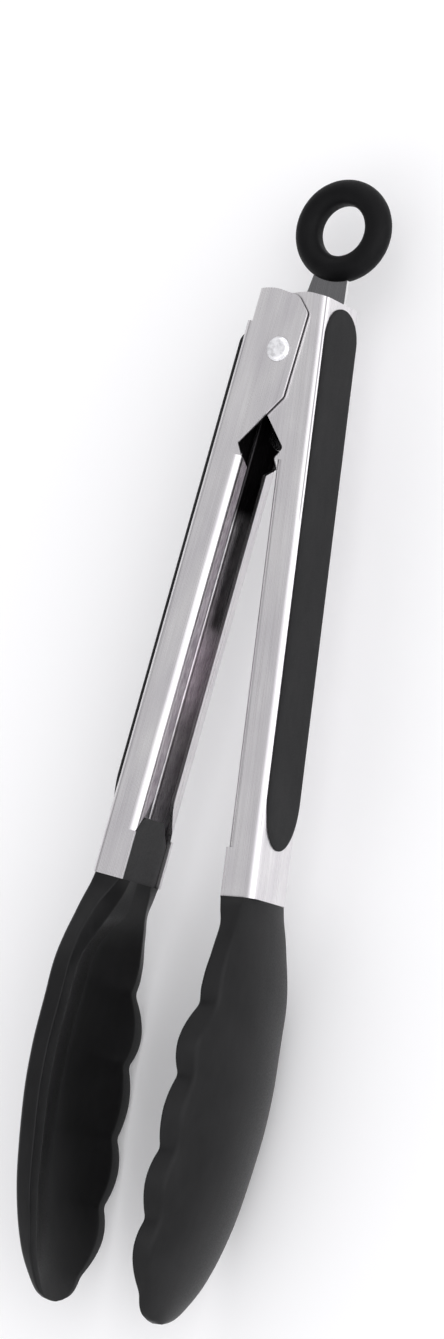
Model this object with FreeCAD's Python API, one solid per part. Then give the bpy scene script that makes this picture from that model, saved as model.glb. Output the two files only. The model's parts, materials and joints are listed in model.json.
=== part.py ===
import FreeCAD, Part
import math
import os

# Spring loaded kitchen tongs: two stamped steel channel arms on one rivet, a
# torsion spring, a pull-ring lock slide, soft grips and silicone claw heads.
#
# Frame: the tongs lie on their side. +Z is the pivot axis, +Y runs from the
# heads to the ring, +X points to the inner arm. The origin is the centre of
# the bottom of the bounding box, with the arms open.
#
# Each arm and all that it carries are drawn in an arm frame: pivot axis at
# the origin, web on the +X side, head towards -Y. The inner arm swings out of
# it by +OPEN_ANGLE. The outer arm is turned half round Y and swings by
# -OPEN_ANGLE, so both heads are the same shape with their scallops on
# opposite sides.

V = FreeCAD.Vector
Y_AXIS = V(0, 1, 0)
Z_AXIS = V(0, 0, 1)

# ---- driving dimensions: millimetres and degrees ----
OPEN_ANGLE = 4.93            # half the angle between the arms, open
TIP_GAP = 0.6                # left between the head tips when closed
SHEET = 0.8                  # steel thickness of the arms
OUTER_WIDTH = 17.4           # outer arm, across its side walls
NEST_GAP = 0.1               # between the inner arm's walls and the outer arm's
WEB_REACH = 10.3             # pivot axis to the outside of the web
EDGE_REACH = 2.1             # pivot axis to the inner edge of the walls
BEND = 1.8                   # outside bend radius
LIP = 4.25                   # width of the in-turned lips
LIP_START = 24.6             # where the lips start, below the pivot
LIP_LEAD = 2.0               # the lips' first corner is cut back this far
LIP_FADE = 10.5              # length over which the lips run out
LIP_END = 10.8               # where they are gone, above the lower end of the arm
TONGUE = 14.3                # head tongue inside the arm
ARM_LENGTH = 121.3           # pivot axis to the lower end of the arm

EAR_TOP = 13.3               # ears, above the pivot
EAR_REACH = 4.6              # ears, past the pivot
EAR_DROP = 10.1              # lower corner of the ear's free edge
NOTCH_DROP = 21.9            # deepest point of the notch below the pivot
NOTCH_DEPTH = 1.6            # notch, into the wall
NOTCH_ROUND = 0.9
EAR_ROUNDS = (9.0, 3.0, 1.5, 1.2)     # ear corners, from the web round to the free edge
EAR_SLOPE = 0.7              # fall of the ear's top towards its free edge
EAR_SHOULDER = 4.1           # height of the ear's slanted corner
WEB_TOP_INNER = 11.9         # web ends, above the pivot
WEB_TOP_OUTER = 5.0
EAR_STEP = 1.9               # outer ear stands this far inside the web face

RIVET_R = 2.0
RIVET_HEAD_R = 2.75
RIVET_HEAD_H = 1.2
RIVET_FLANGE = 0.35          # thickness of the head at its rim
RIVET_DIMPLE_R = 0.45
RIVET_DIMPLE = 0.25
RIVET_TAIL = 0.75            # formed tail, as a share of the head's height
RUNNING_GAP = 0.05           # radial, between rivet and what turns on it
SLIDE_GAP = 0.1              # radial, between rivet and lock slide slot
BUSH_R = 3.0
WASHER_R = 3.2
WASHER_T = 0.6
STACK_GAP = 0.1              # between the faces stacked on the rivet

WIRE_R = 0.6                 # torsion spring
COIL_GAP = 0.15              # inside the coil, over the bush
COIL_TURNS = 4
COIL_PITCH = 1.6
SPRING_LEG = 31.0
LEG_GAP = 0.05               # leg tip to the web it presses on

LOCK_T = 1.0                 # lock slide sheet
LOCK_TRAVEL = 6.0
LOCK_LEAN = 1.2              # degrees past parallel to the outer arm
NECK_HALF = 4.1              # lock slide neck at the ring
NECK_FOOT_HALF = 5.1
NECK_FOOT = 14.6             # above the pivot
SHANK_HALF = 3.9
HOOK_HALF = 5.1
HOOK_TOP = 14.4              # below the pivot
HOOK_CHAMFER = (2.4, 2.0)    # lead-in across and along the slide
LOCK_END = 20.4              # below the pivot
LOCK_ROUNDS = (1.5, 3.0, 1.0, 0.5, 1.0, 0.8)
NECK_TAPER = 7.0             # length over which the neck narrows to the shank
RING_RISE = 30.7             # ring centre above the pivot
RING_R = 8.7                 # middle of the silicone ring
RING_TUBE = 3.05
EYE_HALF = 1.3               # half the width of the steel eye in the ring
HANG_R = 5.8                 # hanging hole

GRIP_MARGIN = 0.9            # web left bare at each side of a grip
GRIP_T = 0.9
GRIP_EDGE = 0.5
GRIP_TOP_MARGIN = 1.0        # web left bare above a grip
GRIP_TOP_ROUND = 7.0
GRIP_END = 109.9             # below the pivot
GRIP_END_ROUND = 11.5
LUG_SPOTS = (43.0, 56.0)      # below the pivot
LUG_LENGTH = 6.0
LUG_WIDTH = 3.0
LUG_RIM = 0.8                # the staked head stands this far over the slot
LUG_HEAD_T = 0.6
RETAINER_T = 1.2
RETAINER_HALF = 4.4
RETAINER_ROUND = 1.5
RETAINER_START = 37.0
RETAINER_END = 62.3

HEAD_LENGTH = 92.9
CORE_GAP = 0.1               # tongue inside the channel
BLADE_T = 0.9
BLADE_DEPTH = 0.85           # silicone over the outside of the blade
BLADE_HALF = 6.0
BLADE_END = 0.8              # share of the head's length
BLADE_TIP = 0.6              # width left at the blade's end
ROOT_SET_BACK = 1.3          # core root behind the tongue's face, so the skin covers it
ROOT_MARGIN = 2.6            # and inside the arm's width
ROOT_LENGTH = 0.06           # share of the head's length
TONGUE_ROUNDS = (2.0, 1.6)
TONGUE_SHOULDER = 5.0        # length of the tongue's narrowing end
TONGUE_SIDE_GAP = 0.2        # tongue end to the lips
HULL_CURVE = 0.0131          # fall of the hull across its width, per mm
SCALLOP = 3.6                # how far each scallop bulges
RIM_WALL = 1.0

# Head profiles: share of the head's length, distance from the pivot's plane.
RIM = [(0.0, EDGE_REACH), (0.1, 3.4), (0.2, 3.9), (0.42, 2.2), (0.63, -0.7), (0.85, -3.9),
       (1.0, -5.5)]
HULL = [(0.0, WEB_REACH), (0.2, 11.3), (0.42, 11.1), (0.63, 8.5), (0.85, 2.8), (1.0, -3.3)]
CREASE = [(0.03, 3.2), (0.1, 6.2), (0.2, 8.7), (0.42, 8.6), (0.63, 5.8), (0.85, -0.1),
          (0.97, -4.2)]
HALF_WIDTH = [(0.0, 8.6), (0.07, 10.9), (0.23, 17.0), (0.45, 19.2), (0.65, 18.2), (0.83, 15.0),
              (0.93, 10.4), (1.0, 3.0)]
NOTCHES = [(0.262, 14.4), (0.428, 16.8), (0.602, 16.5), (0.765, 14.9), (0.933, 9.2)]

# ---- derived sizes ----
INNER_WIDTH = OUTER_WIDTH - 2 * (SHEET + NEST_GAP)
WEB_INSIDE = WEB_REACH - SHEET
INNER_HALF_INSIDE = INNER_WIDTH / 2 - SHEET
TIP_DROP = ARM_LENGTH + HEAD_LENGTH
COIL_R = BUSH_R + COIL_GAP + WIRE_R
LOCK_LOW = -INNER_HALF_INSIDE + STACK_GAP + WASHER_T + STACK_GAP
LOCK_MID = LOCK_LOW + LOCK_T / 2


def smooth(knots, u):
    """Value at u of a smooth curve through (u, value) knots, with no overshoot."""
    if u <= knots[0][0]:
        return knots[0][1]
    if u >= knots[-1][0]:
        return knots[-1][1]
    steps = [(b[1] - a[1]) / (b[0] - a[0]) for a, b in zip(knots, knots[1:])]
    slopes = [steps[0]]
    for a, b in zip(steps, steps[1:]):
        slopes.append(0.0 if a * b <= 0 else 2 * a * b / (a + b))
    slopes.append(steps[-1])
    i = max(k for k in range(len(steps)) if knots[k][0] <= u)
    width = knots[i + 1][0] - knots[i][0]
    t = (u - knots[i][0]) / width
    return ((1 + 2 * t) * (1 - t) ** 2 * knots[i][1] + t * (1 - t) ** 2 * width * slopes[i]
            + t * t * (3 - 2 * t) * knots[i + 1][1] + t * t * (t - 1) * width * slopes[i + 1])


def rounded(points, radii):
    """Closed wire through the points, each corner rounded by its own radius."""
    corners = []
    for i, point in enumerate(points):
        if radii[i] == 0:
            corners.append((point, None, point))
            continue
        back = (points[i - 1] - point).normalize()
        ahead = (points[(i + 1) % len(points)] - point).normalize()
        half = back.getAngle(ahead) / 2
        reach = radii[i] / math.tan(half)
        inward = (back + ahead).normalize()
        middle = point + inward * (radii[i] / math.sin(half) - radii[i])
        corners.append((point + back * reach, middle, point + ahead * reach))
    edges = []
    for i, (start, middle, stop) in enumerate(corners):
        if middle:
            edges.append(Part.Arc(start, middle, stop).toShape())
        following = corners[(i + 1) % len(corners)][0]
        if stop.distanceToPoint(following) > 1e-6:
            edges.append(Part.LineSegment(stop, following).toShape())
    return Part.Wire(edges)


def slab(wire, thickness):
    """Solid of a closed wire, pulled along the vector thickness."""
    return Part.Face(wire).extrude(thickness)


def box(x0, x1, y0, y1, z0, z1):
    return Part.makeBox(x1 - x0, y1 - y0, z1 - z0, V(x0, y0, z0))


def rod(radius, z0, z1, x=0.0, y=0.0):
    return Part.makeCylinder(radius, z1 - z0, V(x, y, z0))


# ---- arms ----
def channel(width, lips, y_low, y_high, edge):
    """Bent sheet channel along Y: web at WEB_REACH, wall edges at edge."""
    half = width / 2
    skin = half - SHEET
    bend_in = BEND - SHEET
    if lips:
        lip_edge = half - LIP
        ring = [(edge, lip_edge, 0), (edge, half, BEND), (WEB_REACH, half, BEND),
                (WEB_REACH, -half, BEND), (edge, -half, BEND), (edge, -lip_edge, 0),
                (edge + SHEET, -lip_edge, 0), (edge + SHEET, -skin, bend_in),
                (WEB_INSIDE, -skin, bend_in), (WEB_INSIDE, skin, bend_in),
                (edge + SHEET, skin, bend_in), (edge + SHEET, lip_edge, 0)]
    else:
        ring = [(edge, half, 0), (WEB_REACH, half, BEND), (WEB_REACH, -half, BEND),
                (edge, -half, 0), (edge, -skin, 0), (WEB_INSIDE, -skin, bend_in),
                (WEB_INSIDE, skin, bend_in), (edge, skin, 0)]
    wire = rounded([V(x, y_low, z) for x, z, radius in ring], [r for x, z, r in ring])
    return slab(wire, V(0, y_high - y_low, 0))


def wall_outline():
    """Side view of an arm's walls: ears, notch and straight inner edge."""
    far, top = WEB_REACH + 1, WEB_TOP_INNER
    edge_round = 0.3
    ring = [(far, top, 0), (WEB_REACH / 2, EAR_TOP, EAR_ROUNDS[0]),
            (-0.26 * EAR_REACH, EAR_TOP - EAR_SLOPE, EAR_ROUNDS[1]),
            (-EAR_REACH, EAR_TOP - EAR_SHOULDER, EAR_ROUNDS[2]),
            (-EAR_REACH + edge_round, -EAR_DROP, EAR_ROUNDS[3]),
            (EDGE_REACH + NOTCH_DEPTH, -NOTCH_DROP, NOTCH_ROUND),
            (EDGE_REACH, edge_round - LIP_START, edge_round), (EDGE_REACH, -ARM_LENGTH, 0),
            (far, -ARM_LENGTH, 0)]
    half = OUTER_WIDTH
    wire = rounded([V(x, y, -half) for x, y, radius in ring], [r for x, y, r in ring])
    return slab(wire, V(0, 0, 2 * half))


def lip_run_out(width):
    """Cutter that takes the lips away near the head along an S-curve."""
    half = width / 2
    end = LIP_END + LIP_FADE - ARM_LENGTH
    inner = half - LIP
    low = -ARM_LENGTH - 1
    curve = Part.BSplineCurve()
    curve.interpolate([V(0, end, inner), V(0, end - 0.35 * LIP_FADE, inner + 0.1 * LIP),
                       V(0, end - 0.75 * LIP_FADE, inner + 0.55 * LIP),
                       V(0, end - LIP_FADE, half - SHEET)])
    side = curve.toShape()
    mirrored = side.mirror(V(0, 0, 0), Z_AXIS)
    foot = half - SHEET
    lines = Part.makePolygon([V(0, end - LIP_FADE, foot), V(0, low, foot), V(0, low, -foot),
                              V(0, end - LIP_FADE, -foot)])
    top = Part.makePolygon([V(0, end, -inner), V(0, end, inner)])
    edges = Part.sortEdges([side, mirrored] + lines.Edges + top.Edges)[0]
    return slab(Part.Wire(edges), V(EDGE_REACH + BEND + SHEET / 2, 0, 0))


def lip_lead_in(width):
    """Cutter that slants the upper end of both lips."""
    foot, inner = width / 2 - SHEET, width / 2 - LIP
    top, low = -LIP_START, -LIP_START - LIP_LEAD
    ring = Part.makePolygon([V(0, top, foot), V(0, low, inner), V(0, low, -inner),
                             V(0, top, -foot), V(0, top, foot)])
    return slab(Part.Wire(ring.Edges), V(EDGE_REACH + BEND, 0, 0))


def arm(width, web_top, bore_r, ear_step):
    """One arm in the arm frame. The walls are plain above and below the lips."""
    above = channel(width, False, -LIP_START, EAR_TOP + 1, -EAR_REACH - 1)
    lip_stop = LIP_END - ARM_LENGTH
    lipped = channel(width, True, lip_stop, -LIP_START, EDGE_REACH)
    below = channel(width, False, -ARM_LENGTH, lip_stop, EDGE_REACH)
    lipped = lipped.cut([lip_run_out(width), lip_lead_in(width)])
    shape = above.common(wall_outline()).fuse([lipped, below]).removeSplitter()
    if ear_step:
        shape = shape.cut(box(WEB_REACH - ear_step, WEB_REACH + 1, web_top, EAR_TOP + 2,
                              -width, width))
    shape = shape.cut(rod(bore_r, -width, width))
    return shape.cut([slot(LUG_LENGTH, LUG_WIDTH, spot, WEB_INSIDE - 1, WEB_REACH + 1)
                      for spot in LUG_SPOTS])


# ---- grips ----
def slot(length, width, spot, x0, x1):
    """Round-ended slot solid through the web, centred spot below the pivot."""
    reach, radius = length / 2, width / 2
    ring = [(-spot - reach, -radius), (-spot + reach, -radius), (-spot + reach, radius),
            (-spot - reach, radius)]
    wire = rounded([V(x0, y, z) for y, z in ring], [radius * 0.98] * 4)
    return slab(wire, V(x1 - x0, 0, 0))


def grip(width, web_top):
    """Silicone pad on the outside of the web, with lugs staked inside it."""
    half = width / 2 - GRIP_MARGIN
    top = web_top - GRIP_TOP_MARGIN
    shoulder = top - GRIP_TOP_ROUND
    waist = GRIP_END_ROUND - GRIP_END
    x = WEB_REACH

    def half_ellipse(y, length, sign):
        if length >= half:
            oval = Part.Ellipse(V(x, y + sign * length, 0), V(x, y, half), V(x, y, 0))
        else:
            oval = Part.Ellipse(V(x, y, half), V(x, y + sign * length, 0), V(x, y, 0))
        ends = [oval.parameter(V(x, y, -sign * half)), oval.parameter(V(x, y, sign * half))]
        first = oval.toShape(*ends)
        middle = first.valueAt((first.FirstParameter + first.LastParameter) / 2)
        if (middle.y - y) * sign > 0:
            return first
        return oval.toShape(ends[1], ends[0])

    edges = [half_ellipse(shoulder, GRIP_TOP_ROUND, 1), half_ellipse(waist, GRIP_END_ROUND, -1)]
    edges += [Part.makeLine(V(x, shoulder, z), V(x, waist, z)) for z in (half, -half)]
    pad = slab(Part.Wire(Part.sortEdges(edges)[0]), V(GRIP_T, 0, 0))
    rim = [edge for edge in pad.Edges if edge.BoundBox.XMin > x + GRIP_T - 1e-6]
    pad = pad.makeFillet(GRIP_EDGE, rim)
    inside = WEB_INSIDE - RETAINER_T
    for spot in LUG_SPOTS:
        pad = pad.fuse(slot(LUG_LENGTH, LUG_WIDTH, spot, inside, x))
        pad = pad.fuse(slot(LUG_LENGTH + 2 * LUG_RIM, LUG_WIDTH + 2 * LUG_RIM, spot,
                            inside - LUG_HEAD_T, inside))
    return pad.removeSplitter()


def retainer():
    """Nylon strip inside the web that the grip's lugs are staked over."""
    low, high = -RETAINER_END, -RETAINER_START
    ring = [(low, -RETAINER_HALF), (high, -RETAINER_HALF), (high, RETAINER_HALF),
            (low, RETAINER_HALF)]
    wire = rounded([V(WEB_INSIDE - RETAINER_T, y, z) for y, z in ring],
                   [RETAINER_ROUND] * 4)
    strip = slab(wire, V(RETAINER_T, 0, 0))
    return strip.cut([slot(LUG_LENGTH, LUG_WIDTH, spot, 0, WEB_REACH) for spot in LUG_SPOTS])


# ---- heads ----
def station(u):
    return -(ARM_LENGTH + u * HEAD_LENGTH)


def head_outline(width):
    """Front view of a head: scalloped at +Z, smooth at -Z."""
    half = width / 2
    notches = [(station(u), z) for u, z in NOTCHES]
    first_y, first_z = notches[0]
    flare = Part.BSplineCurve()
    flare.interpolate([V(0, station(0), half), V(0, station(0.06), half + 2.2),
                       V(0, station(0.13), first_z - 0.9),
                       V(0, station(0.2), first_z + 0.9), V(0, first_y, first_z)])
    edges = [flare.toShape()]
    for (y0, z0), (y1, z1) in zip(notches, notches[1:]):
        peak = V(0, (y0 + y1) / 2, (z0 + z1) / 2 + SCALLOP)
        edges.append(Part.Arc(V(0, y0, z0), peak, V(0, y1, z1)).toShape())
    last_y, last_z = notches[-1]
    tip = V(0, station(1), 0)
    edges.append(Part.Arc(V(0, last_y, last_z), V(0, station(0.985), 0.6 * last_z), tip).toShape())
    back = Part.BSplineCurve()
    shares = (0.985, 0.93, 0.83, 0.65, 0.45, 0.23, 0.14)
    points = [tip] + [V(0, station(u), -0.97 * smooth(HALF_WIDTH, u)) for u in shares]
    points += [V(0, station(0.055), -half - 1.4), V(0, station(0), -half)]
    back.interpolate(points)
    edges += [back.toShape(), Part.makeLine(V(0, station(0), -half), V(0, station(0), half))]
    return Part.Wire(edges)


def head_block():
    """Hull of a head: arched back, straight front that follows the rim."""
    sections = []
    for u in (-0.01, 0.06, 0.13, 0.2, 0.31, 0.42, 0.53, 0.63, 0.74, 0.85, 0.93, 1.01):
        y = station(u)
        reach = min(23.0, smooth(HALF_WIDTH, u) + 5.0)
        front, back = smooth(RIM, u), smooth(HULL, u)
        side = max(back - HULL_CURVE * reach ** 2, front + 0.8)
        a, b = V(front, y, -reach), V(front, y, reach)
        c, d = V(side, y, reach), V(side, y, -reach)
        arch = Part.Arc(c, V(back, y, 0), d).toShape()
        sections.append(Part.Wire([Part.makeLine(a, b), Part.makeLine(b, c), arch,
                                   Part.makeLine(d, a)]))
    return Part.makeLoft(sections, True, False)


def head_bowl():
    """Cutter for the boat-shaped bowl, which meets the rim at a thin wall."""
    sections = []
    for u in (0.03, 0.1, 0.17, 0.24, 0.33, 0.42, 0.53, 0.63, 0.74, 0.85, 0.92, 0.965):
        y = station(u)
        opening = smooth([(0.03, 0.25), (0.1, 0.5), (0.17, 0.8), (0.24, 1.0)], u)
        smooth_side = opening * (0.97 * smooth(HALF_WIDTH, u) - RIM_WALL)
        scalloped = opening * (smooth([(0.1, 12.0)] + NOTCHES + [(1.0, 3.5)], u) - RIM_WALL)
        rim, crease = smooth(RIM, u), smooth(CREASE, u)
        front = rim - 4
        bulge = rim + 0.6 * (crease - rim)
        a, b = V(front, y, -smooth_side), V(front, y, scalloped)
        c, e = V(rim, y, scalloped), V(rim, y, -smooth_side)
        floor = V(crease, y, 0)
        right = Part.Arc(c, V(bulge, y, scalloped / 2), floor).toShape()
        left = Part.Arc(floor, V(bulge, y, -smooth_side / 2), e).toShape()
        sections.append(Part.Wire([Part.makeLine(a, b), Part.makeLine(b, c), right, left,
                                   Part.makeLine(e, a)]))
    return Part.makeLoft(sections, True, False)


def head_core(width):
    """Nylon insert: tongue in the arm, root in the neck, curved blade."""
    half = width / 2 - SHEET - CORE_GAP
    top = -ARM_LENGTH + TONGUE
    narrow = width / 2 - LIP - TONGUE_SIDE_GAP
    x0 = EDGE_REACH + SHEET + CORE_GAP
    x1 = WEB_INSIDE - CORE_GAP
    shoulder = top - TONGUE_SHOULDER
    wide, tight = TONGUE_ROUNDS
    ring = [(-ARM_LENGTH, -half, 0), (shoulder, -half, wide), (top, -narrow, tight),
            (top, narrow, tight), (shoulder, half, wide), (-ARM_LENGTH, half, 0)]
    wire = rounded([V(x0, y, z) for y, z, radius in ring], [r for y, z, r in ring])
    tongue = slab(wire, V(x1 - x0, 0, 0))
    corner = [edge for edge in tongue.Edges
              if edge.BoundBox.XMin > x1 - 1e-6 and abs(edge.BoundBox.ZMin) > half - 1e-6]
    tongue = tongue.makeChamfer(BEND - SHEET, corner)
    root_half = width / 2 - ROOT_MARGIN
    root = box(x0 + ROOT_SET_BACK, WEB_INSIDE, station(ROOT_LENGTH), -ARM_LENGTH,
               -root_half, root_half)
    sections = []
    steps = 8
    for k in range(steps + 1):
        u = BLADE_END * k / steps
        y = station(u)
        outside = smooth(HULL, u) - BLADE_DEPTH
        reach = min(BLADE_HALF, root_half) if k < steps else BLADE_TIP * BLADE_HALF
        corners = [(outside - BLADE_T, -reach), (outside - BLADE_T, reach), (outside, reach),
                   (outside, -reach)]
        sections.append(Part.makePolygon([V(x, y, z) for x, z in corners + corners[:1]]))
    blade = Part.makeLoft(sections, True, True)
    return tongue.fuse([root, blade]).removeSplitter()


def head_skin(width, core):
    """Silicone spoon moulded over the core."""
    prism = slab(head_outline(width), V(40, 0, 0))
    prism.translate(V(-20, 0, 0))
    shell = head_block().common(prism)
    return shell.cut(head_bowl()).cut(core)


# ---- pivot, spring and lock ----
def rivet():
    """Domed rivet through both arms, headed over at the back."""
    half = OUTER_WIDTH / 2
    front, rear = half + RIVET_HEAD_H, -half - RIVET_TAIL * RIVET_HEAD_H
    brow, tail_rim = half + RIVET_FLANGE, -half - RIVET_FLANGE / 2
    dome = Part.Arc(V(RIVET_HEAD_R, 0, brow), V(0.62 * RIVET_HEAD_R, 0, front - 0.2),
                    V(RIVET_DIMPLE_R, 0, front)).toShape()
    tail = Part.Arc(V(0, 0, rear), V(0.6 * RIVET_HEAD_R, 0, rear + 0.2),
                    V(RIVET_HEAD_R, 0, tail_rim)).toShape()
    dimple = [V(RIVET_DIMPLE_R, 0, front), V(0, 0, front - RIVET_DIMPLE), V(0, 0, rear)]
    rim = [V(RIVET_HEAD_R, 0, tail_rim), V(RIVET_HEAD_R, 0, -half), V(RIVET_R, 0, -half),
           V(RIVET_R, 0, half), V(RIVET_HEAD_R, 0, half), V(RIVET_HEAD_R, 0, brow)]
    edges = [dome, tail] + Part.makePolygon(dimple).Edges + Part.makePolygon(rim).Edges
    profile = Part.Face(Part.Wire(Part.sortEdges(edges)[0]))
    return profile.revolve(V(0, 0, 0), Z_AXIS, 360)


def tube(outer, inner, z0, z1):
    return rod(outer, z0, z1).cut(rod(inner, z0 - 1, z1 + 1))


def torsion_spring():
    """Coil round the bush, with one straight leg on each arm's web."""
    target = WEB_INSIDE - WIRE_R - LEG_GAP
    lean = math.asin(target / math.hypot(COIL_R, SPRING_LEG)) - math.atan2(COIL_R, SPRING_LEG)
    lean_deg = math.degrees(lean) + OPEN_ANGLE
    turns = COIL_TURNS + (180 - 2 * lean_deg) / 360
    low = LOCK_LOW + LOCK_T + STACK_GAP + 2 * WIRE_R
    count = math.ceil(2 * turns)
    step_deg, rise = 360 * turns / count, turns * COIL_PITCH / count

    def wire_end(angle_deg, height, sign=1):
        angle = math.radians(angle_deg)
        point = V(COIL_R * math.cos(angle), COIL_R * math.sin(angle), height)
        return point, V(sign * math.sin(angle), -sign * math.cos(angle), 0)

    parts = []
    for k in range(count):
        helix = Part.makeHelix(COIL_PITCH, rise, COIL_R)
        helix.translate(V(0, 0, low + k * rise))
        helix.rotate(V(0, 0, 0), Z_AXIS, lean_deg + k * step_deg)
        point, back = wire_end(lean_deg + k * step_deg, low + k * rise)
        ring = Part.Wire(Part.makeCircle(WIRE_R, point, back * -1))
        parts.append(Part.Wire(helix.Edges).makePipeShell([ring], True, True))
    ends = (wire_end(lean_deg, low), wire_end(180 - lean_deg, low + count * rise, -1))
    parts += [Part.makeCylinder(WIRE_R, SPRING_LEG, point, along) for point, along in ends]
    return parts[0].fuse(parts[1:])


def lock_slide():
    """Flat steel slide in the outer arm: eye, flared neck, slot and hooks."""
    neck_top = RING_RISE - RING_R
    across, along = HOOK_CHAMFER
    corners = [(NECK_FOOT_HALF, NECK_FOOT), (SHANK_HALF, NECK_FOOT - NECK_TAPER),
               (SHANK_HALF, 1.5 - HOOK_TOP), (HOOK_HALF, -HOOK_TOP),
               (HOOK_HALF, along - LOCK_END), (HOOK_HALF - across, -LOCK_END)]
    ring = [(NECK_HALF, neck_top, 0)]
    ring += [(x, y, radius) for (x, y), radius in zip(corners, LOCK_ROUNDS)]
    ring += [(-x, y, radius) for x, y, radius in reversed(ring)]
    wire = rounded([V(x, y, LOCK_LOW) for x, y, radius in ring], [r for x, y, r in ring])
    plate = slab(wire, V(0, 0, LOCK_T))
    top = LOCK_LOW + LOCK_T
    eye = rod(RING_R + EYE_HALF, LOCK_LOW, top, 0, RING_RISE)
    plate = plate.fuse(eye).cut(rod(RING_R - EYE_HALF, LOCK_LOW - 1, top + 1, 0, RING_RISE))
    width = RIVET_R + SLIDE_GAP
    z0, z1 = LOCK_LOW - 1, top + 1
    track = box(-width, width, -LOCK_TRAVEL - SLIDE_GAP, SLIDE_GAP, z0, z1)
    track = track.fuse([rod(width, z0, z1, 0, SLIDE_GAP),
                        rod(width, z0, z1, 0, -LOCK_TRAVEL - SLIDE_GAP)])
    return plate.cut(track).removeSplitter()


def ring_sleeve(slide):
    """Silicone ring moulded over the eye of the lock slide."""
    ring = Part.makeTorus(RING_R, RING_TUBE, V(0, RING_RISE, LOCK_MID), Z_AXIS)
    hole = rod(HANG_R, LOCK_MID - RING_TUBE - 1, LOCK_MID + RING_TUBE + 1, 0, RING_RISE)
    return ring.cut([hole, slide])


# ---- assembly ----
def closed_angle():
    """Half angle between the arms when the head tips are TIP_GAP apart."""
    reach = math.hypot(TIP_DROP, RIM[-1][1])
    return math.degrees(math.asin(TIP_GAP / 2 / reach) + math.atan2(-RIM[-1][1], TIP_DROP))


def to_inner(shape):
    turned = shape.copy()
    turned.rotate(V(0, 0, 0), Z_AXIS, OPEN_ANGLE)
    return turned


def to_outer(shape):
    turned = shape.copy()
    turned.rotate(V(0, 0, 0), Y_AXIS, 180)
    turned.rotate(V(0, 0, 0), Z_AXIS, -OPEN_ANGLE)
    return turned


def to_lock(shape):
    turned = shape.copy()
    turned.rotate(V(0, 0, 0), Z_AXIS, LOCK_LEAN - OPEN_ANGLE)
    return turned


def build():
    nodes = {}
    sides = (("outer", OUTER_WIDTH, WEB_TOP_OUTER, RIVET_R, EAR_STEP, to_outer),
             ("inner", INNER_WIDTH, WEB_TOP_INNER, RIVET_R + RUNNING_GAP, 0, to_inner))
    for name, width, web_top, bore_r, ear_step, place in sides:
        core = head_core(width)
        nodes[name + "_arm"] = place(arm(width, web_top, bore_r, ear_step))
        nodes[name + "_grip"] = place(grip(width, web_top))
        nodes[name + "_grip_retainer"] = place(retainer())
        nodes[name + "_head_core"] = place(core)
        nodes[name + "_head_skin"] = place(head_skin(width, core))
    nodes["pivot_rivet"] = rivet()
    bore = RIVET_R + RUNNING_GAP
    wall = INNER_HALF_INSIDE - STACK_GAP
    nodes["spring_bush"] = tube(BUSH_R, bore, LOCK_LOW + LOCK_T + STACK_GAP, wall)
    nodes["slide_washer"] = tube(WASHER_R, bore, -wall, -wall + WASHER_T)
    nodes["torsion_spring"] = torsion_spring()
    slide = lock_slide()
    nodes["lock_slide"] = to_lock(slide)
    nodes["ring_sleeve"] = to_lock(ring_sleeve(slide))
    return nodes


nodes = build()
bounds = Part.makeCompound(list(nodes.values())).optimalBoundingBox(False, False)
origin = V(bounds.Center.x, bounds.Center.y, bounds.ZMin)
os.makedirs("parts", exist_ok=True)
for name, shape in nodes.items():
    shape.translate(origin * -1)
    shape.exportStep("parts/" + name + ".step")
    solids = shape.Solids
    print(name, "valid", shape.isValid(), "solids", len(solids),
          "volume mm3", round(shape.Volume, 1))
print("box mm", [round(v, 3) for v in (bounds.XLength, bounds.YLength, bounds.ZLength)])
print("pivot mm", [round(v, 4) for v in origin * -1])
print("closed half angle", round(closed_angle(), 4))
slide_turn = math.radians(OPEN_ANGLE - LOCK_LEAN)
slide_axis = V(math.sin(slide_turn), math.cos(slide_turn), 0)
print("slide axis", [round(v, 6) for v in slide_axis])
ring_centre = slide_axis * RING_RISE + V(0, 0, LOCK_MID) - origin
print("ring centre mm", [round(v, 4) for v in ring_centre])
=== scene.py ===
import json
import math

import bmesh
import bpy
import numpy as np
from mathutils import Matrix, Vector


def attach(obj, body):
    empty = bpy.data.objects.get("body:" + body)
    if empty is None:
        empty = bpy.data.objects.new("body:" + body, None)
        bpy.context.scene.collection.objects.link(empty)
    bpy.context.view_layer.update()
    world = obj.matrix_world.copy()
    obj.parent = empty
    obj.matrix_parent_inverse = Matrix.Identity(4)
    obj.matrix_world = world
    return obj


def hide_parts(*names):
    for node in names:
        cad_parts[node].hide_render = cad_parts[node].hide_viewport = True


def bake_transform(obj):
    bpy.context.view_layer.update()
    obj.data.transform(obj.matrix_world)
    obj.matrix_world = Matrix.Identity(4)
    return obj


# Looks of the spring loaded kitchen tongs. Shapes are drawn in millimetres in an arm
# frame (pivot at the origin, web towards +X, head towards -Y) and placed on each arm.

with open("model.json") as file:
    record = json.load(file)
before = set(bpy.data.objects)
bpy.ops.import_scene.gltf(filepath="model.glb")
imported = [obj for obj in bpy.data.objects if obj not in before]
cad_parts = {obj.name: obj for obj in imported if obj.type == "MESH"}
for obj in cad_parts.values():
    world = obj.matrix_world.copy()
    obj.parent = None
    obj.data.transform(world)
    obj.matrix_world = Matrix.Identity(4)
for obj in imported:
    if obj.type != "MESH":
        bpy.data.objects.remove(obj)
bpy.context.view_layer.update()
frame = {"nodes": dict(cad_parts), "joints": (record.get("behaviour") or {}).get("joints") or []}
nodes = frame["nodes"]

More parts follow.
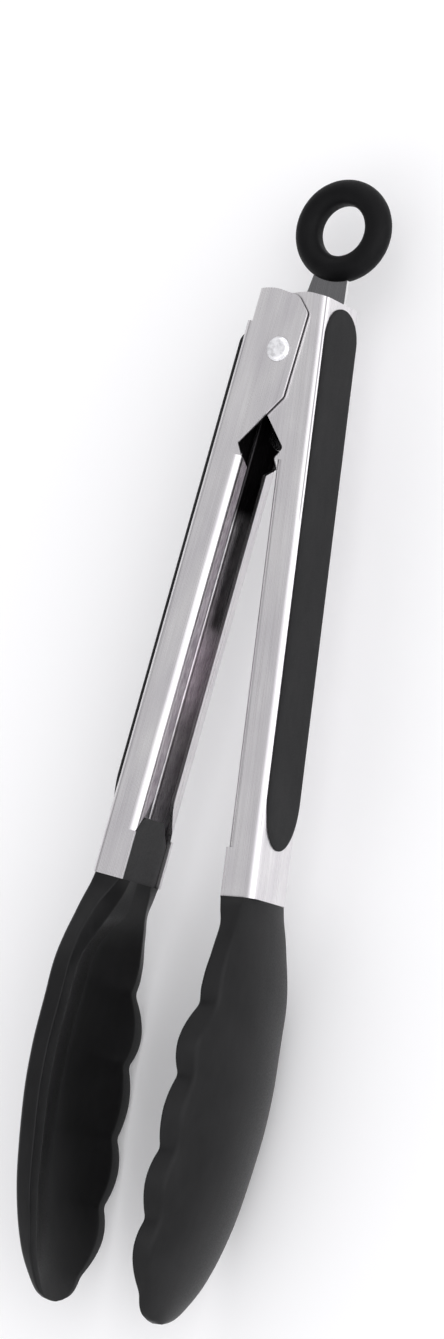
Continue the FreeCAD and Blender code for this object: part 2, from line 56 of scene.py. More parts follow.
MM = 0.001
HINGE, SLIDE = (next(j for j in frame["joints"] if j["name"] == name)
                for name in ("arm_hinge", "lock_pull"))
PIVOT = Vector(HINGE["pos_m"])
OPEN_ANGLE = math.radians(4.93)
SHEET, BEND, WEB_REACH, EDGE_REACH = 0.8, 1.8, 10.3, 2.1
OUTER_WIDTH, INNER_WIDTH = 17.4, 15.6
EARS_END = 24.5                      # below the pivot; the lips start just under it
INSIDE_START, INSIDE_END = 30, 110   # below the pivot, where the painted shade inside the channel starts and ends


# ---- camera, floor and light ----
VIEW_TURN = math.radians(30.71)      # from over the pivot towards the inner arm
VIEW_DROP = math.radians(5.25)       # and towards the heads
VIEW_ROLL = math.radians(11.45)
VIEW_DISTANCE = 1.130
VIEW_TARGET = Vector((-0.003, -0.071, 0.0))
SENSOR = 36.0
FLOOR_LEVEL = -0.0006
LENS = 137.9
SKY_LIGHT = 1.20
# Soft patches in the studio light: direction, cosines at which each starts and is full, gain.
STUDIO = (((0.87, 0.05, 0.49), (0.80, 0.99), 1.15),
          ((-0.51, 0.09, 0.856), (0.74, 0.93), -0.58),
          ((-0.99, 0.0, 0.12), (0.68, 0.97), -0.50))


def add_camera():
    sight = Vector((math.sin(VIEW_TURN) * math.cos(VIEW_DROP), -math.sin(VIEW_DROP),
                    math.cos(VIEW_TURN) * math.cos(VIEW_DROP)))
    up = (Vector((0, 1, 0)) - sight * sight.y).normalized()
    right = up.cross(sight)
    axis_x = right * math.cos(VIEW_ROLL) + up * math.sin(VIEW_ROLL)
    axis_y = up * math.cos(VIEW_ROLL) - right * math.sin(VIEW_ROLL)
    data = bpy.data.cameras.new("camera")
    data.sensor_fit = "VERTICAL"
    data.sensor_height = SENSOR
    data.lens = LENS
    data.clip_start, data.clip_end = 0.01, 50
    camera = bpy.data.objects.new("camera", data)
    turn = Matrix((axis_x, axis_y, sight)).transposed().to_4x4()
    camera.matrix_world = Matrix.Translation(PIVOT + VIEW_TARGET + sight * VIEW_DISTANCE) @ turn
    bpy.context.scene.collection.objects.link(camera)
    bpy.context.scene.camera = camera


def set_world():
    """White studio with the soft patches above added to its even light."""
    world = bpy.data.worlds.new("studio")
    bpy.context.scene.world = world
    world.use_nodes = True
    tree = world.node_tree
    background = tree.nodes["Background"]
    coords = tree.nodes.new("ShaderNodeTexCoord")
    total = None
    for direction, edge, gain in STUDIO:
        toward = tree.nodes.new("ShaderNodeVectorMath")
        toward.operation = "DOT_PRODUCT"
        toward.inputs[1].default_value = Vector(direction).normalized()
        tree.links.new(coords.outputs["Generated"], toward.inputs[0])
        patch = tree.nodes.new("ShaderNodeMapRange")
        patch.interpolation_type = "SMOOTHSTEP"
        patch.inputs["From Min"].default_value, patch.inputs["From Max"].default_value = edge
        patch.inputs["To Min"].default_value, patch.inputs["To Max"].default_value = 0, gain
        tree.links.new(toward.outputs["Value"], patch.inputs["Value"])
        add = tree.nodes.new("ShaderNodeMath")
        add.operation = "ADD"
        tree.links.new(patch.outputs["Result"], add.inputs[0])
        if total:
            tree.links.new(total, add.inputs[1])
        else:
            add.inputs[1].default_value = SKY_LIGHT
        total = add.outputs[0]
    tree.links.new(total, background.inputs["Strength"])
    background.inputs["Color"].default_value = (0.985, 0.98, 1.0, 1)


# ---- materials ----
class Shader:
    """Small helper that builds one material's node tree."""

    def __init__(self, name, **values):
        self.material = bpy.data.materials.new(name)
        self.material.use_nodes = True
        self.tree = self.material.node_tree
        self.bsdf = self.tree.nodes["Principled BSDF"]
        for key, value in values.items():
            self.bsdf.inputs[key.replace("_", " ")].default_value = value
        self.coords = self.add("ShaderNodeTexCoord").outputs["Object"]

    def add(self, kind, **values):
        node = self.tree.nodes.new(kind)
        for key, value in values.items():
            setattr(node, key, value)
        return node

    def link(self, source, target):
        self.tree.links.new(source, target)

    def mapped(self, scale, turn=0.0):
        node = self.add("ShaderNodeMapping", vector_type="TEXTURE")
        node.inputs["Rotation"].default_value = (0, 0, turn)
        node.inputs["Scale"].default_value = scale
        self.link(self.coords, node.inputs["Vector"])
        return node.outputs["Vector"]

    def noise(self, vector, detail=3.0, distortion=0.0):
        node = self.add("ShaderNodeTexNoise")
        node.inputs["Scale"].default_value = 1.0
        node.inputs["Detail"].default_value = detail
        node.inputs["Roughness"].default_value = 0.55
        node.inputs["Distortion"].default_value = distortion
        self.link(vector, node.inputs["Vector"])
        return node.outputs["Fac"]

    def ramp(self, value, stops):
        node = self.add("ShaderNodeValToRGB")
        ramp = node.color_ramp
        while len(ramp.elements) < len(stops):
            ramp.elements.new(0.5)
        for element, (place, colour) in zip(ramp.elements, stops):
            element.position = place
            element.color = (*colour, 1)
        self.link(value, node.inputs["Fac"])
        return node.outputs["Color"]

    def spread(self, value, low, high, source=(0.3, 0.7)):
        node = self.add("ShaderNodeMapRange")
        node.inputs["From Min"].default_value, node.inputs["From Max"].default_value = source
        node.inputs["To Min"].default_value, node.inputs["To Max"].default_value = low, high
        self.link(value, node.inputs["Value"])
        return node.outputs["Result"]

    def mix(self, share, first, second, kind="MIX"):
        node = self.add("ShaderNodeMix", data_type="RGBA", blend_type=kind)
        for value, place in ((share, 0), (first, 6), (second, 7)):
            if isinstance(value, bpy.types.NodeSocket):
                self.link(value, node.inputs[place])
            elif place:
                node.inputs[place].default_value = (*value, 1)
            else:
                node.inputs[place].default_value = value
        return node.outputs[2]

    def bump(self, height, strength, distance, previous=None):
        node = self.add("ShaderNodeBump")
        node.inputs["Strength"].default_value = strength
        node.inputs["Distance"].default_value = distance
        self.link(height, node.inputs["Height"])
        if previous:
            self.link(previous, node.inputs["Normal"])
        return node.outputs["Normal"]

    def times(self, first, second):
        node = self.add("ShaderNodeMath", operation="MULTIPLY")
        self.link(first, node.inputs[0])
        self.link(second, node.inputs[1])
        return node.outputs[0]

    def set(self, socket, source):
        self.link(source, self.bsdf.inputs[socket])


def brushed_steel(name, turn, side, width, light, dark, roughness=(0.22, 0.38)):
    """Stamped sheet, brushed along its length. The channel's inside carries painted shade and
    painted reflection bands, the lip is painted darker as a painted reflection, and crevices carry
    painted shade.

    The parts are told apart by their place in the arm, so this light and shade is painted, not
    lit."""
    s = Shader(name, Metallic=1.0)
    hair = s.noise(s.mapped((0.00016, 0.030, 0.00016), turn), detail=4)
    streak = s.noise(s.mapped((0.0011, 0.055, 0.0011), turn), detail=2)
    patch = s.noise(s.mapped((0.006, 0.016, 0.006), turn), detail=2)
    base = s.ramp(patch, [(0.32, dark), (0.68, light)])
    base = s.mix(0.22, base, s.ramp(hair, [(0.30, (0.55, 0.55, 0.55)), (0.62, (1, 1, 1))]),
                 "MULTIPLY")
    base = s.mix(0.20, base, s.ramp(streak, [(0.35, (0.72, 0.70, 0.72)), (0.60, (1, 1, 1))]),
                 "MULTIPLY")
    local = s.add("ShaderNodeMapping", vector_type="TEXTURE")
    local.inputs["Location"].default_value = PIVOT
    local.inputs["Rotation"].default_value = (0, 0, turn)
    s.link(s.coords, local.inputs["Vector"])
    place = s.add("ShaderNodeSeparateXYZ")
    s.link(local.outputs["Vector"], place.inputs["Vector"])
    skin = 0.25 * MM
    across = s.add("ShaderNodeMath", operation="ABSOLUTE")
    s.link(place.outputs["Z"], across.inputs[0])
    depth = s.add("ShaderNodeMath", operation="MULTIPLY")
    s.link(place.outputs["X"], depth.inputs[0])
    depth.inputs[1].default_value = side
    reach, edge, web = width / 2 - SHEET, EDGE_REACH * MM, (WEB_REACH - SHEET) * MM
    within = s.spread(across.outputs[0], 1.0, 0.0, (reach * MM + skin, reach * MM + 2 * skin))
    behind = s.spread(depth.outputs[0], 0.0, 1.0,
                      (edge + SHEET * MM + 0.1 * MM, edge + SHEET * MM + skin))
    ears = s.add("ShaderNodeMath", operation="MAXIMUM")
    s.link(behind, ears.inputs[0])
    above = s.spread(place.outputs["Y"], 0.0, 1.0, (-EARS_END * MM, (1 - EARS_END) * MM))
    s.link(above, ears.inputs[1])
    behind = ears.outputs[0]
    before = s.spread(depth.outputs[0], 1.0, 0.0, (web + skin, web + 2 * skin))
    # Painted shade and painted reflection bands: the channel's inside gets its own colour, chosen
    # by place in the arm.
    inside = s.times(s.times(within, behind), before)
    down = s.spread(place.outputs["Y"], 1.0, 0.0, (-INSIDE_END * MM, -INSIDE_START * MM))
    painted_inside = s.ramp(down, INSIDE_SHADE_AND_REFLECTION)
    mottle = s.noise(s.mapped((0.0009, 0.0028, 0.0009), turn), detail=4)
    painted_inside = s.mix(0.5, painted_inside, s.ramp(mottle, [(0.3, (0.35, 0.33, 0.35)), (0.65, (1, 1, 1))]),
                 "MULTIPLY")
    # Painted reflection: the lip's outer face is painted a darker mottled grey.
    lip_shade = s.times(s.spread(across.outputs[0], 1.0, 0.0,
                           ((width / 2 - BEND - 0.2) * MM, (width / 2 - BEND + 0.3) * MM)),
                  s.spread(depth.outputs[0], 1.0, 0.0, (edge + skin, edge + 2 * skin)))
    lip_shade = s.times(lip_shade, s.spread(place.outputs["Z"], 0.0, 1.0, (0.0, skin)) if side < 0 else
                  s.spread(place.outputs["Z"], 1.0, 0.0, (0.0, skin)))
    base = s.mix(lip_shade, base, s.ramp(mottle, [(0.32, LIP_SHADE_DEEP), (0.68, LIP_SHADE_PALE)]))
    # Painted shade: ambient occlusion darkens the colour in narrow crevices, such as beside the
    # ears' free edges, away from the web.
    crevice = s.add("ShaderNodeAmbientOcclusion", samples=8)
    crevice.inputs["Distance"].default_value = 0.7 * MM
    shade = s.times(s.spread(crevice.outputs["AO"], 0.8, 0.0, (0.35, 0.85)),
                    s.spread(depth.outputs[0], 1.0, 0.0, (0.0075, 0.0085)))
    base = s.mix(shade, base, (0.05, 0.048, 0.05))
    s.set("Base Color", s.mix(inside, base, painted_inside))
    s.set("Roughness", s.spread(hair, *roughness))
    s.set("Normal", s.bump(hair, 0.18, 0.00003))
    return s.material


def polished_steel(name, colour, roughness, metallic=1.0):
    """Small turned or drawn metal with a slightly uneven polish."""
    s = Shader(name, Metallic=metallic)
    spots = s.noise(s.mapped((0.0013, 0.0013, 0.0013)), detail=3)
    dark = tuple(0.72 * c for c in colour)
    s.set("Base Color", s.ramp(spots, [(0.36, dark), (0.56, colour)]))
    s.set("Roughness", s.spread(spots, roughness + 0.12, roughness))
    s.set("Normal", s.bump(spots, 0.12, 0.00005))
    return s.material


def blanked_plate(name, face, edge):
    """Polished plate coloured by facing direction: dark faces and bright blanked sides, partly its
    finish and bare steel, partly painted reflection.
    """
    s = Shader(name, Metallic=1.0)
    hair = s.noise(s.mapped((0.00020, 0.018, 0.00020), -math.atan2(*SLIDE["axis"][:2])), detail=3)
    facing = s.add("ShaderNodeSeparateXYZ")
    s.link(s.add("ShaderNodeNewGeometry").outputs["Normal"], facing.inputs["Vector"])
    flat = s.add("ShaderNodeMath", operation="ABSOLUTE")
    s.link(facing.outputs["Z"], flat.inputs[0])
    # Painted reflection in part: faces dark and sides bright, chosen by the direction each surface
    # faces.
    colour = s.ramp(hair, [(0.3, tuple(0.8 * c for c in face)), (0.7, face)])
    s.set("Base Color", s.mix(s.spread(flat.outputs[0], 1.0, 0.0, (0.4, 0.7)), colour, edge))
    s.set("Roughness", s.spread(hair, 0.20, 0.32))
    s.set("Normal", s.bump(hair, 0.10, 0.00003))
    return s.material


def silicone(name, colour, worn, roughness, grain=0.00035, specular=0.30):
    """Moulded silicone: fine matte grain, slight mottling and dust-grey patches."""
    s = Shader(name, Roughness=roughness)
    s.bsdf.inputs["Specular IOR Level"].default_value = specular
    patch = s.noise(s.mapped((0.012, 0.022, 0.012)), detail=3)
    fine = s.noise(s.mapped((grain, grain, grain)), detail=2)
    wave = s.noise(s.mapped((0.0020, 0.0060, 0.0020)), detail=3, distortion=0.6)
    s.set("Base Color", s.mix(0.35, s.ramp(patch, [(0.35, colour), (0.70, worn)]),
                              s.ramp(wave, [(0.35, colour), (0.72, worn)])))
    s.set("Roughness", s.spread(fine, roughness - 0.06, roughness + 0.08))
    first = s.bump(fine, 0.20, 0.00003)
    s.set("Normal", s.bump(wave, 0.05, 0.0002, first))
    return s.material


def moulded(name, colour, roughness):
    """Moulded nylon with a light spark-eroded texture."""
    s = Shader(name, Roughness=roughness)
    s.bsdf.inputs["Specular IOR Level"].default_value = 0.35
    grain = s.noise(s.mapped((0.00045, 0.00045, 0.00045)), detail=2)
    flow = s.noise(s.mapped((0.004, 0.016, 0.004)), detail=2)
    s.set("Base Color", s.ramp(flow, [(0.3, tuple(0.75 * c for c in colour)), (0.7, colour)]))
    s.set("Roughness", s.spread(grain, roughness - 0.05, roughness + 0.10))
    s.set("Normal", s.bump(grain, 0.25, 0.00004))
    return s.material


def floor_material():
    s = Shader("floor_paint", Roughness=0.75)
    cloud = s.noise(s.mapped((0.5, 0.5, 0.5)), detail=2)
    s.set("Base Color", s.ramp(cloud, [(0.3, (0.96, 0.96, 0.96)), (0.7, (0.97, 0.97, 0.97))]))
    return s.material


# ---- mesh helpers ----
def on_inner(points):
    turn = Matrix.Rotation(OPEN_ANGLE, 3, "Z")
    return [PIVOT + turn @ (Vector(p) * MM) for p in points]


def on_outer(points):
    turn = Matrix.Rotation(-OPEN_ANGLE, 3, "Z")
    return [PIVOT + turn @ (Vector((-p[0], p[1], -p[2])) * MM) for p in points]


def on_pivot(points):
    return [PIVOT + Vector(p) * MM for p in points]


def on_slide(points):
    turn = Vector((0, 1, 0)).rotation_difference(Vector(SLIDE["axis"])).to_matrix()
    return [PIVOT + turn @ (Vector(p) * MM) for p in points]


def make_object(name, points, faces, material, body, sharp_degrees=50):
    mesh = bpy.data.meshes.new(name)
    mesh.from_pydata([tuple(p) for p in points], [], faces)
    mesh.update()
    face_outwards(mesh)
    mesh.shade_smooth()
    mesh.set_sharp_from_angle(angle=math.radians(sharp_degrees))
    mesh.materials.append(material)
    piece = bpy.data.objects.new(name, mesh)
    bpy.context.scene.collection.objects.link(piece)
    if body:
        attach(piece, body)
    return piece


def face_outwards(mesh):
    bm = bmesh.new()
    bm.from_mesh(mesh)
    bmesh.ops.recalc_face_normals(bm, faces=bm.faces)
    bm.to_mesh(mesh)
    bm.free()


def loft(rings, caps=True):
    """Points and faces of a skin over rings that all have the same number of points."""
    count = len(rings[0])
    points = [p for ring in rings for p in ring]
    faces = []
    for i in range(len(rings) - 1):
        for j in range(count):
            a, b = i * count + j, i * count + (j + 1) % count
            faces.append((a, b, b + count, a + count))
    if caps:
        for row in (0, len(rings) - 1):
            ring = rings[row]
            centre = tuple(sum(p[k] for p in ring) / count for k in range(3))
            points.append(centre)
            hub = len(points) - 1
            for j in range(count):
                faces.append((row * count + j, row * count + (j + 1) % count, hub))
    return points, faces


def curve_at(knots, s):
    """Monotone smooth value at s through (s, value) knots."""
    if s <= knots[0][0]:
        return knots[0][1]
    if s >= knots[-1][0]:
        return knots[-1][1]
    steps = [(b[1] - a[1]) / (b[0] - a[0]) for a, b in zip(knots, knots[1:])]
    slopes = [steps[0]]
    for a, b in zip(steps, steps[1:]):
        slopes.append(0.0 if a * b <= 0 else 2 * a * b / (a + b))
    slopes.append(steps[-1])
    i = max(k for k in range(len(steps)) if knots[k][0] <= s)
    w = knots[i + 1][0] - knots[i][0]
    t = (s - knots[i][0]) / w
    return ((1 + 2 * t) * (1 - t) ** 2 * knots[i][1] + t * (1 - t) ** 2 * w * slopes[i]
            + t * t * (3 - 2 * t) * knots[i + 1][1] + t * t * (t - 1) * w * slopes[i + 1])


# ---- silicone heads ----
# Profiles: (distance below the pivot, value), both in millimetres.
NECK, TIP = 121.3, 214.2
RIM = [(121.3, 2.1), (130, 3.3), (140, 3.9), (150, 3.0), (160, 2.2), (170, 1.0), (180, -0.7),
       (190, -2.2), (200, -3.9), (208, -4.8), (214.2, -5.5)]
BACK = [(121.3, 10.3), (130, 10.9), (140, 11.3), (150, 11.4), (160, 11.1), (170, 10.2),
        (180, 8.5), (190, 6.0), (200, 2.7), (208, -0.5), (214.2, -3.6)]
FLOOR = [(121.3, 2.9), (127, 3.1), (129, 3.6), (133, 6.1), (137, 8.0), (142, 8.7), (158, 8.6),
         (164, 8.1), (170, 7.4), (176, 6.3), (182, 5.2), (188, 3.5), (194, 1.6), (200, -0.5),
         (206, -2.7), (211, -4.7), (214.2, -5.5)]
PLAIN = [(121.3, 8.6), (124, 9.2), (127, 10.4), (130, 11.8), (136, 14.6), (141, 16.4),
         (146, 17.5), (154, 18.5), (161, 19.1), (168, 19.3), (177, 19.1), (185, 18.4),
         (193.5, 17.1), (203.6, 13.9), (209.7, 9.8), (212.6, 6.8), (213.8, 3.8), (214.2, 1.2)]
NOTCHES = [(121.3, 8.5), (124, 10.2), (128, 11.7), (133, 13.9), (138, 15.2), (141.5, 15.3),
           (145.7, 13.9), (161.1, 16.7), (177.2, 16.4), (192.4, 14.8), (208, 9.8), (211, 8.4),
           (213.2, 5.6), (214.2, 1.2)]
SCALLOPS = [(145.7, 161.1, 4.3), (161.1, 177.2, 3.1), (177.2, 192.4, 3.2), (192.4, 208, 3.4)]
RIM_FACE = [(121.3, 4.0), (126, 4.3), (131, 4.2), (137, 3.6), (142, 2.0), (146, 0.9), (214.2, 0.8)]
RIM_SLANT = [(121.3, 0.3), (124, 1.2), (128, 2.0), (134, 1.7), (140, 0.7), (146, 0.15),
             (214.2, 0.1)]
WALL = [(121.3, 6.6), (126, 6.2), (134, 5.2), (142, 4.5), (160, 4.2), (180, 4.1), (196, 3.6),
        (206, 2.6), (214.2, 1.0)]
PLAIN_WALL = 0.5                     # the plain side's wall is this much higher
HULL_POWER = 2.1
LEAN = [(121.3, 0.1), (128, 0.7), (136, 1.5), (150, 1.9), (190, 1.9), (205, 1.5), (214.2, 0.3)]


def scallop_wave(s):
    base = curve_at(NOTCHES, s)
    for low, high, rise in SCALLOPS:
        if low < s < high:
            t = (s - low) / (high - low)
            base += rise * (math.sin(math.pi * t) ** 0.82)
    return base


def scalloped_half(s):
    """Half-width on the scalloped side, its notches slightly rounded."""
    reach = min(0.9, TIP - s)
    offsets = [k * reach / 4 for k in range(-4, 5)]
    return sum(scallop_wave(s + d) for d in offsets) / len(offsets)


def ridge_half(s):
    """Half-width of the ridge above the scalloped wall: the same waves, softened."""
    span = np.linspace(-5.0, 5.0, 13)
    weights = np.cos(span / 5.0 * 1.3)
    values = [scalloped_half(min(max(s + d, NECK), TIP)) for d in span]
    return float(np.dot(weights, values) / weights.sum())


def corner(before, point, after, reach, count=5):
    """A rounded corner: a short curve that leaves both sides reach away from the point."""
    p, a, b = (np.array(v, float) for v in (point, before, after))
    start = p + (a - p) * min(0.5, reach / max(1e-6, np.linalg.norm(a - p)))
    stop = p + (b - p) * min(0.5, reach / max(1e-6, np.linalg.norm(b - p)))
    return [tuple((1 - t) ** 2 * start + 2 * t * (1 - t) * p + t * t * stop)
            for t in np.linspace(0, 1, count)]


def head_ring(s):
    """Closed (x, z) section of a head at s below the pivot, from the bowl round the back."""
    rim, back, floor = curve_at(RIM, s), curve_at(BACK, s), curve_at(FLOOR, s)
    face, slant, wall = curve_at(RIM_FACE, s), curve_at(RIM_SLANT, s), curve_at(WALL, s)
    lean = curve_at(LEAN, s)
    halves = {1: scalloped_half(s), -1: curve_at(PLAIN, s)}
    ridges = {1: ridge_half(s) - lean, -1: halves[-1] - 0.5 * lean}
    crease = 1.28 + 0.72 * min(1.0, max(0.0, (s - 165) / 22))
    section = []
    inner = {side: max(0.25, min(halves[side] - face, halves[side] * 0.80)) for side in (1, -1)}
    crest = {side: min(rim + wall + (side < 0) * PLAIN_WALL * (1 - max(0, s - 200) / 14.2),
                       back - 0.35) for side in (1, -1)}

    def bowl(side):
        shares = [0, 0.02, 0.06, 0.12, 0.2, 0.3, 0.4, 0.5, 0.6, 0.7, 0.8, 0.88, 0.94]
        return [(floor - (floor - rim) * t ** crease, side * inner[side] * t) for t in shares]

    def flank(side):
        half, ridge = halves[side], max(0.4, min(ridges[side], halves[side] - 0.02))
        lip_in, lip_out = (rim, side * inner[side]), (rim + slant, side * half)
        ridge_x = crest[side]
        top = (ridge_x, side * ridge)
        shoulder = back - (back - ridge_x) * 0.80 ** HULL_POWER
        hull = (shoulder, side * ridge * 0.80)
        near = (floor - (floor - rim) * 0.9 ** crease, side * inner[side] * 0.9)
        path = corner(near, lip_in, lip_out, 0.35, 4)
        path += corner(lip_in, lip_out, top, 0.55, 6)
        path += corner(lip_out, top, hull, 0.9, 9)
        return path

    def hull(side):
        ridge = max(0.4, min(ridges[side], halves[side] - 0.02))
        shares = [0.8, 0.72, 0.63, 0.53, 0.42, 0.31, 0.2, 0.1]
        return [(back - (back - crest[side]) * t ** HULL_POWER, side * ridge * t)
                for t in shares]

    section += bowl(1) + flank(1) + hull(1) + [(back, 0.0)]
    section += hull(-1)[::-1] + flank(-1)[::-1] + bowl(-1)[:0:-1]
    return section


def head_mesh():
    stations = list(np.arange(NECK, 208, 0.55)) + list(np.arange(208, 213, 0.35))
    stations += [213.0, 213.3, 213.6, 213.8, 214.0, 214.1, 214.2]
    rings = [[(x, -s, z) for x, z in head_ring(s)] for s in stations]
    return loft(rings)


# ---- grips ----
GRIP = {"base": 10.3, "rise": 0.85, "margin": 0.9, "end": 109.9, "end_round": 11.5}


def grip_mesh(width, web_top, top_round):
    half = width / 2 - GRIP["margin"]
    top = web_top - 1.0
    shoulder, waist = top - top_round, GRIP["end_round"] - GRIP["end"]
    outline = []
    for t in np.linspace(0, math.pi, 41):
        outline.append((shoulder + top_round * math.sin(t), half * math.cos(t)))
    for t in np.linspace(0, 1, 61)[1:-1]:
        outline.append((shoulder + (waist - shoulder) * t, -half))
    for t in np.linspace(math.pi, 2 * math.pi, 41):
        outline.append((waist + GRIP["end_round"] * math.sin(t), half * math.cos(t)))
    for t in np.linspace(0, 1, 61)[1:-1]:
        outline.append((waist + (shoulder - waist) * t, half))
    rings = []
    levels = [(1.0, 0.0), (0.5, 0.0), (0.0, 0.0), (0.0, 0.30), (0.012, 0.52), (0.035, 0.70),
              (0.07, 0.83), (0.12, 0.90), (0.25, 0.945), (0.45, 0.975), (0.7, 0.993),
              (1.0, 1.0)]
    for share, height in levels:
        ring = []
        for y, z in outline:
            spine = min(max(y, waist), shoulder)
            y_in = y + (spine - y) * share
            z_in = z * (1 - share)
            ring.append((GRIP["base"] + GRIP["rise"] * height, y_in, z_in))
        rings.append(ring)
    return loft(rings, caps=False)


# ---- hanging ring ----
RING_RISE, RING_R, RING_TUBE, HANG_R = 30.7, 8.7, 3.05, 5.8
RING_Z = -5.7                        # middle of the lock plate


def ring_mesh():
    rings = []
    for a in np.linspace(0, 2 * math.pi, 97)[:-1]:
        ring = []
        for b in np.linspace(0, 2 * math.pi, 37)[:-1]:
            radial = RING_R + RING_TUBE * math.cos(b)
            if radial < HANG_R + 0.35:      # flat land of the hole, eased at its edges
                radial = HANG_R + 0.35 * math.exp((radial - HANG_R - 0.35) / 0.35)
            ring.append((radial * math.cos(a), RING_RISE + radial * math.sin(a),
                         RING_Z + RING_TUBE * math.sin(b)))
        rings.append(ring)
    rings.append(rings[0])
    points, faces = loft(rings, caps=False)
    return weld(points, faces)


def weld(points, faces):
    """Merges points that lie in the same place and drops faces that vanish."""
    places, index, kept = {}, [], []
    for p in points:
        key = tuple(round(v, 5) for v in p)
        if key not in places:
            places[key] = len(kept)
            kept.append(p)
        index.append(places[key])
    clean = []
    for face in faces:
        corners = []
        for i in face:
            if index[i] not in corners:
                corners.append(index[i])
        if len(corners) > 2:
            clean.append(tuple(corners))
    return kept, clean


# ---- rivet ----
def lathe(profile, count=64):
    """Solid turned from (radius, z) points about the pivot axis."""
    rings = []
    for r, z in profile:
        ring = [(r * math.cos(a), r * math.sin(a), z)
                for a in np.linspace(0, 2 * math.pi, count + 1)[:-1]]
        rings.append(ring)
    return weld(*loft(rings, caps=False))


def rivet_mesh():
    front, rear = OUTER_WIDTH / 2, -OUTER_WIDTH / 2
    crown = [(0.0, 0.90), (0.3, 0.91), (0.55, 0.95), (0.8, 1.0), (1.1, 1.02), (1.5, 1.0),
             (1.9, 0.94), (2.2, 0.86), (2.36, 0.76), (2.43, 0.62), (2.45, 0.40), (2.50, 0.35),
             (2.66, 0.33), (2.75, 0.25), (2.75, 0.0)]
    tail = [(2.75, 0.0), (2.75, -0.12), (2.6, -0.30), (2.1, -0.55), (1.4, -0.78), (0.7, -0.88),
            (0.0, -0.90)]
    profile = [(r, front + z) for r, z in crown] + [(2.0, front), (2.0, rear)]
    profile += [(r, rear + z) for r, z in tail]
    return lathe(profile)


# ---- torsion spring ----
WIRE_R, COIL_R, COIL_TURNS, COIL_PITCH, SPRING_LEG = 0.6, 3.75, 4, 1.6, 31.0
SPRING_LOW, SPRING_LEAN = -3.9, math.radians(14.5)


def spring_path(lean, low):
    """Centreline of the wire: leg, coil, leg."""
    turns = COIL_TURNS + (math.pi - 2 * lean) / (2 * math.pi)
    height = turns * COIL_PITCH
    start = np.array((COIL_R * math.cos(lean), COIL_R * math.sin(lean), low))
    stop = np.array((-start[0], start[1], low + height))
    first = np.array((math.sin(lean), -math.cos(lean), 0))
    last = np.array((-math.sin(lean), -math.cos(lean), 0))
    path = [start + first * SPRING_LEG * t for t in np.linspace(1, 0, 9)[:-1]]
    for t in np.linspace(0, 1, int(turns * 40) + 1):
        a = lean + t * turns * 2 * math.pi
        path.append(np.array((COIL_R * math.cos(a), COIL_R * math.sin(a), low + height * t)))
    path += [stop + last * SPRING_LEG * t for t in np.linspace(0, 1, 9)[1:]]
    return path


def sweep(path, radius, count=16):
    """Round wire along a path, with rounded ends."""
    tangents = []
    for i in range(len(path)):
        d = path[min(i + 1, len(path) - 1)] - path[max(i - 1, 0)]
        tangents.append(d / np.linalg.norm(d))
    up = np.array((0.0, 0.0, 1.0))
    rings = []

    def ring(centre, tangent, r):
        side = np.cross(tangent, up)
        side /= np.linalg.norm(side)
        rise = np.cross(side, tangent)
        return [tuple(centre + r * (math.cos(a) * side + math.sin(a) * rise))
                for a in np.linspace(0, 2 * math.pi, count + 1)[:-1]]

    for t in (1.0, 0.9, 0.6, 0.3):
        rings.append(ring(path[0] - tangents[0] * radius * t, tangents[0],
                          radius * math.sqrt(max(0.0004, 1 - t * t))))
    rings += [ring(p, t, radius) for p, t in zip(path, tangents)]
    for t in (0.3, 0.6, 0.9, 1.0):
        rings.append(ring(path[-1] + tangents[-1] * radius * t, tangents[-1],
                          radius * math.sqrt(max(0.0004, 1 - t * t))))
    return loft(rings)


# ---- build ----
bpy.context.scene.view_settings.view_transform = "Standard"
add_camera()
set_world()

bpy.ops.mesh.primitive_plane_add(size=8, location=(0, 0, FLOOR_LEVEL))
floor = bpy.context.object
floor.name = "floor"
floor.data.materials.append(floor_material())

STEEL_LIGHT, STEEL_DARK = (0.90, 0.885, 0.89), (0.80, 0.78, 0.80)
# Painted reflection: the darker greys painted on the lip face.
LIP_SHADE_PALE, LIP_SHADE_DEEP = (0.47, 0.43, 0.46), (0.26, 0.23, 0.26)
# Painted shade and painted reflection bands of the channels' inside, from INSIDE_START to
# INSIDE_END: dark at the top, lighter bands where reflections fall, bright at the end.
INSIDE_SHADE_AND_REFLECTION = [(0.06, (0.05, 0.047, 0.05)), (0.12, (0.56, 0.55, 0.56)),
                (0.40, (0.58, 0.55, 0.57)), (0.47, (0.66, 0.61, 0.645)),
                (0.60, (0.63, 0.585, 0.615)), (0.70, (0.46, 0.44, 0.45)),
                (0.95, (0.38, 0.37, 0.38)), (1.0, (0.85, 0.83, 0.85))]
head_rubber = silicone("head_silicone", (0.0065, 0.0065, 0.0068), (0.012, 0.012, 0.0124), 0.38,
                       specular=0.16)
grip_rubber = silicone("grip_silicone", (0.021, 0.021, 0.0215), (0.029, 0.029, 0.0295), 0.60,
                       specular=0.05)
ring_rubber = silicone("ring_silicone", (0.004, 0.004, 0.0045), (0.008, 0.008, 0.0085), 0.50,
                       grain=0.0006, specular=0.10)
nylon = moulded("nylon_black", (0.012, 0.012, 0.0125), 0.42)
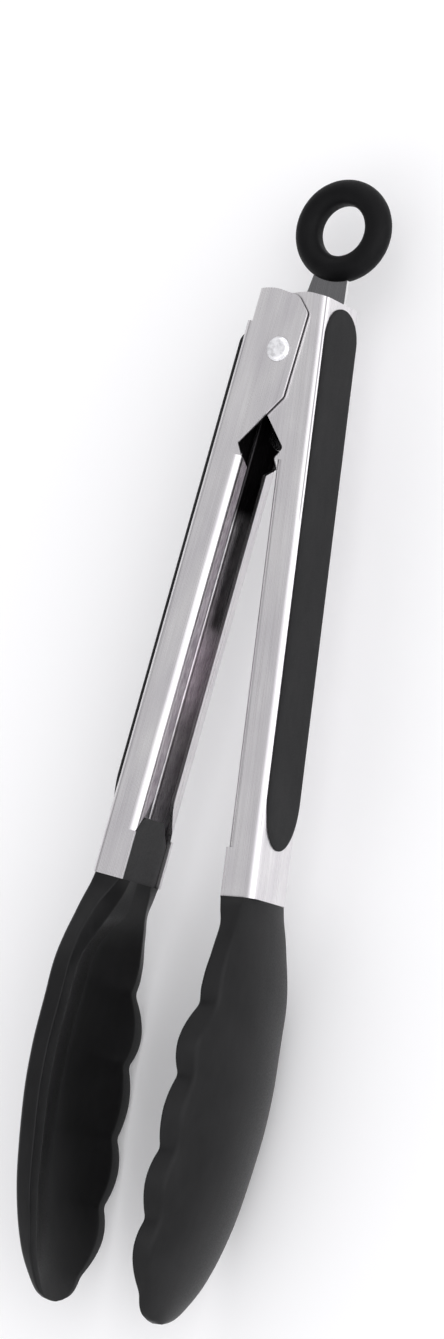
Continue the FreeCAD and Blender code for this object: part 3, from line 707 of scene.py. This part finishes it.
worn_nylon = moulded("nylon_grey", (0.060, 0.058, 0.060), 0.38)
natural = moulded("nylon_natural", (0.62, 0.60, 0.54), 0.40)
spring_steel = polished_steel("spring_steel", (0.34, 0.33, 0.34), 0.14)

for node, material in (
        ("outer_arm", brushed_steel("steel_outer", -OPEN_ANGLE, -1, OUTER_WIDTH,
                                    STEEL_LIGHT, STEEL_DARK)),
        ("inner_arm", brushed_steel("steel_inner", OPEN_ANGLE, 1, INNER_WIDTH,
                                    STEEL_LIGHT, STEEL_DARK)),
        # lock plate: dark faces and bright sides, partly a painted reflection
        ("lock_slide", blanked_plate("lock_steel", (0.22, 0.22, 0.225), (0.85, 0.85, 0.85))),
        ("outer_grip_retainer", worn_nylon), ("inner_grip_retainer", worn_nylon),
        ("outer_head_core", nylon), ("inner_head_core", nylon),
        ("spring_bush", natural), ("slide_washer", natural)):
    mesh = nodes[node].data
    mesh.materials.clear()
    mesh.materials.append(material)

points, faces = head_mesh()
for side, place in (("inner", on_inner), ("outer", on_outer)):
    head = make_object(side + "_head", place(points), faces, head_rubber, side + "_side",
                       60)
    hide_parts(side + "_head_skin")

for side, place, width, web_top, top_round in (("inner", on_inner, INNER_WIDTH, 11.9, 7.0),
                                               ("outer", on_outer, OUTER_WIDTH, 5.0, 4.0)):
    grip_points, grip_faces = weld(*grip_mesh(width, web_top, top_round))
    pad = make_object(side + "_pad", place(grip_points), grip_faces, grip_rubber,
                      side + "_side", 50)
    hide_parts(side + "_grip")

ring_points, ring_faces = ring_mesh()
ring = make_object("hanging_ring", on_slide(ring_points), ring_faces, ring_rubber, "lock",
                   80)
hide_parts("ring_sleeve")

rivet_points, rivet_faces = rivet_mesh()
rivet = make_object("rivet", on_pivot(rivet_points), rivet_faces,
                    polished_steel("rivet_steel", (0.95, 0.95, 0.97), 0.30, 0.55), "outer_side",
                    35)
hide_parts("pivot_rivet")

spring_points, spring_faces = sweep(spring_path(SPRING_LEAN, SPRING_LOW), WIRE_R)
spring = make_object("spring", on_pivot(spring_points), spring_faces, spring_steel, None,
                     70)
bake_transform(spring)
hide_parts("torsion_spring")
